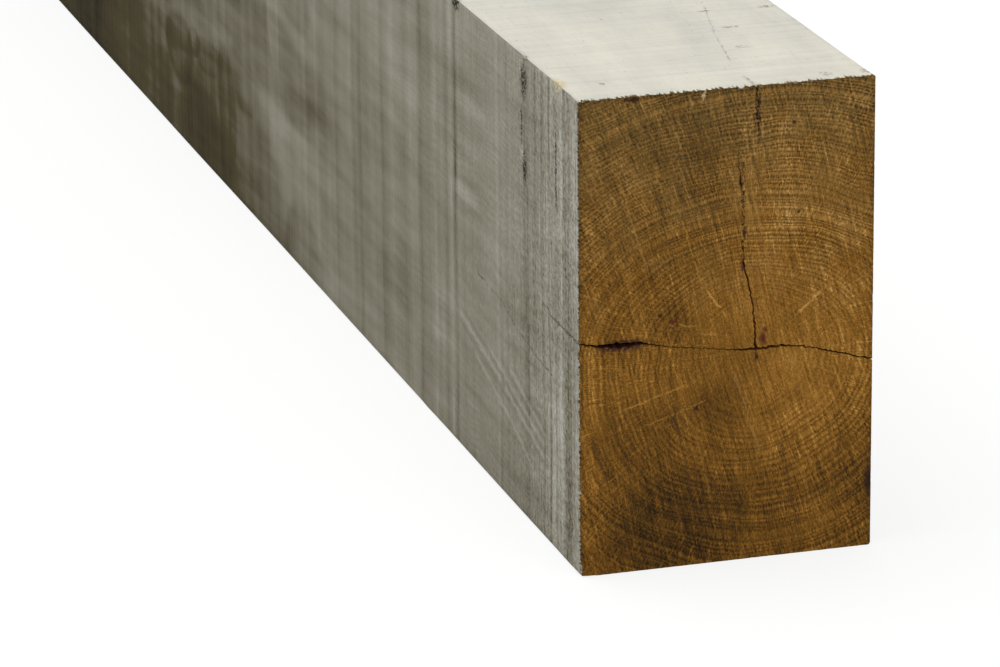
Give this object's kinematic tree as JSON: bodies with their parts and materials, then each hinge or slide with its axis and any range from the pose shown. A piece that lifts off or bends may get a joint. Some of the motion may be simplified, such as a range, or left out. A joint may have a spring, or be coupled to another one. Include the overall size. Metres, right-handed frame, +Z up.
{
  "type": "oak beam",
  "caption": "Sawn oak beam of rectangular section with a square-cut end, boxed heart and drying checks, for framing, lintels and sleepers.",
  "frame": {"origin": "centre of the bottom face, which the beam lies on", "axes": "+X along the beam towards the fresh-cut end that shows in the picture, +Y across the width away from the side that shows, +Z up through the depth"},
  "size_m": [2.4, 0.125, 0.2],
  "materials": {
    "sawn_oak": "rough sawn, weathered silver grey, with fresh brown end grain"
  },
  "bodies": {
    "root": {"oak_beam": "sawn_oak"}
  },
  "joints": []
}
